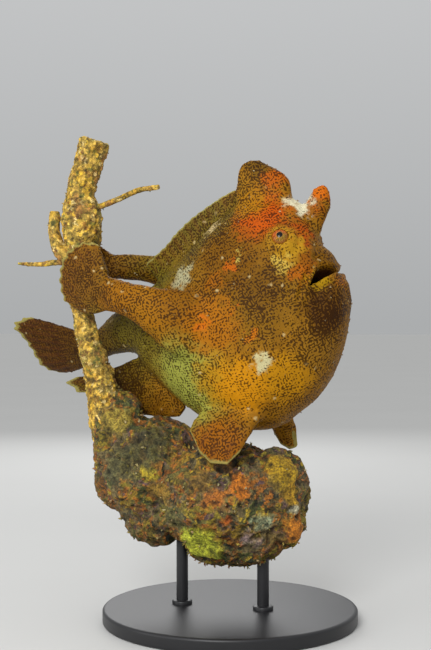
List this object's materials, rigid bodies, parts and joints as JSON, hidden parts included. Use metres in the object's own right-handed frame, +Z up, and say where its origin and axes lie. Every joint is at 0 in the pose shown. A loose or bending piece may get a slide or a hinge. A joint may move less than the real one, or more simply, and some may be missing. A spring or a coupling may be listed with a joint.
{
  "type": "giant frogfish on a branch, life-size still model",
  "caption": "Life-size still model of a round-bodied frogfish that grips an upright branch with its arm-like fins and rests on an overgrown knob, on a round stand.",
  "frame": {"origin": "centre of the round stand base's underside, on the floor", "axes": "+X the way the fish heads, +Y to the fish's left, +Z up"},
  "size_m": [0.3378, 0.216, 0.4162],
  "materials": {
    "skin": "matt fish skin, ochre and orange with a fine dark brown labyrinth of spots",
    "fin_skin": "matt rayed fin skin in the colours of the body, with a pale margin",
    "eye": "wet eye with an ochre spoked iris and a small black pupil",
    "lure": "pale translucent-looking skin",
    "branch": "dead branch under a pale ochre crust",
    "crust": "rough mottled crust of encrusting growth",
    "stand_metal": "satin black paint"
  },
  "bodies": {
    "root": {"head": "skin", "lower_jaw": "skin", "torso": "skin", "tail_peduncle": "skin", "dorsal_spine_2": "skin", "dorsal_spine_3": "skin", "arm_right": "skin", "arm_left": "skin", "hand_right": "fin_skin", "hand_left": "fin_skin", "dorsal_fin": "fin_skin", "anal_fin": "fin_skin", "caudal_fin": "fin_skin", "pelvic_fin_right": "fin_skin", "pelvic_fin_left": "fin_skin", "eye_right": "eye", "eye_left": "eye", "illicium": "lure", "esca": "lure", "perch_branch": "branch", "perch_knob": "crust", "stand_base": "stand_metal", "stand_rod_front": "stand_metal", "stand_rod_rear": "stand_metal"}
  },
  "joints": []
}
